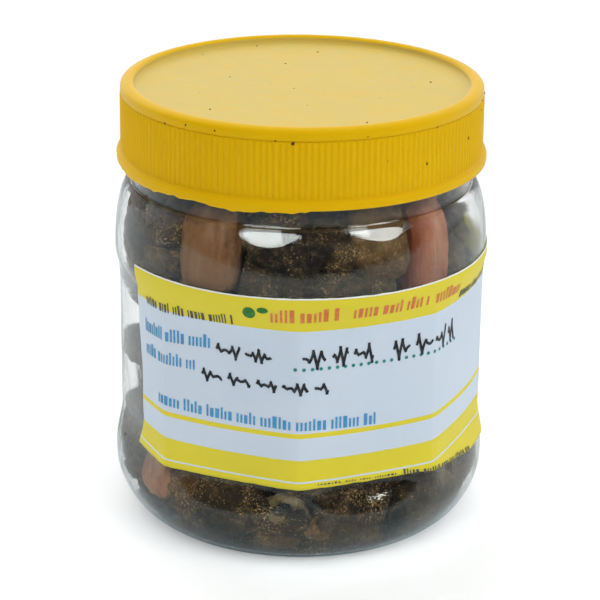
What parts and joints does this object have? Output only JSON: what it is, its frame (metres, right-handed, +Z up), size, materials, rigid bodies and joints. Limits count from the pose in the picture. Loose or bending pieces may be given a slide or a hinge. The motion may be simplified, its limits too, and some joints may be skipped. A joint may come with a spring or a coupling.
{
  "type": "jar of dried betel nut",
  "caption": "Clear plastic jar with a ribbed screw lid and a striped paper label, filled with pieces of dried betel nut.",
  "frame": {"origin": "middle of the jar's footprint, on the plane it stands on", "axes": "+Z up along the jar's axis, -Y towards the front of the label, +X to the right as seen from the front"},
  "size_m": [0.0705, 0.0703, 0.0831],
  "materials": {
    "clear_plastic": "clear glossy blown plastic",
    "yellow_plastic": "satin moulded yellow plastic",
    "label_paper": "smooth coated paper with yellow stripes on white",
    "dried_nut": "dull dark dried nut with light flecks"
  },
  "bodies": {
    "root": {"jar": "clear_plastic", "lid": "yellow_plastic", "label": "label_paper", "nuts": "dried_nut"}
  },
  "joints": []
}
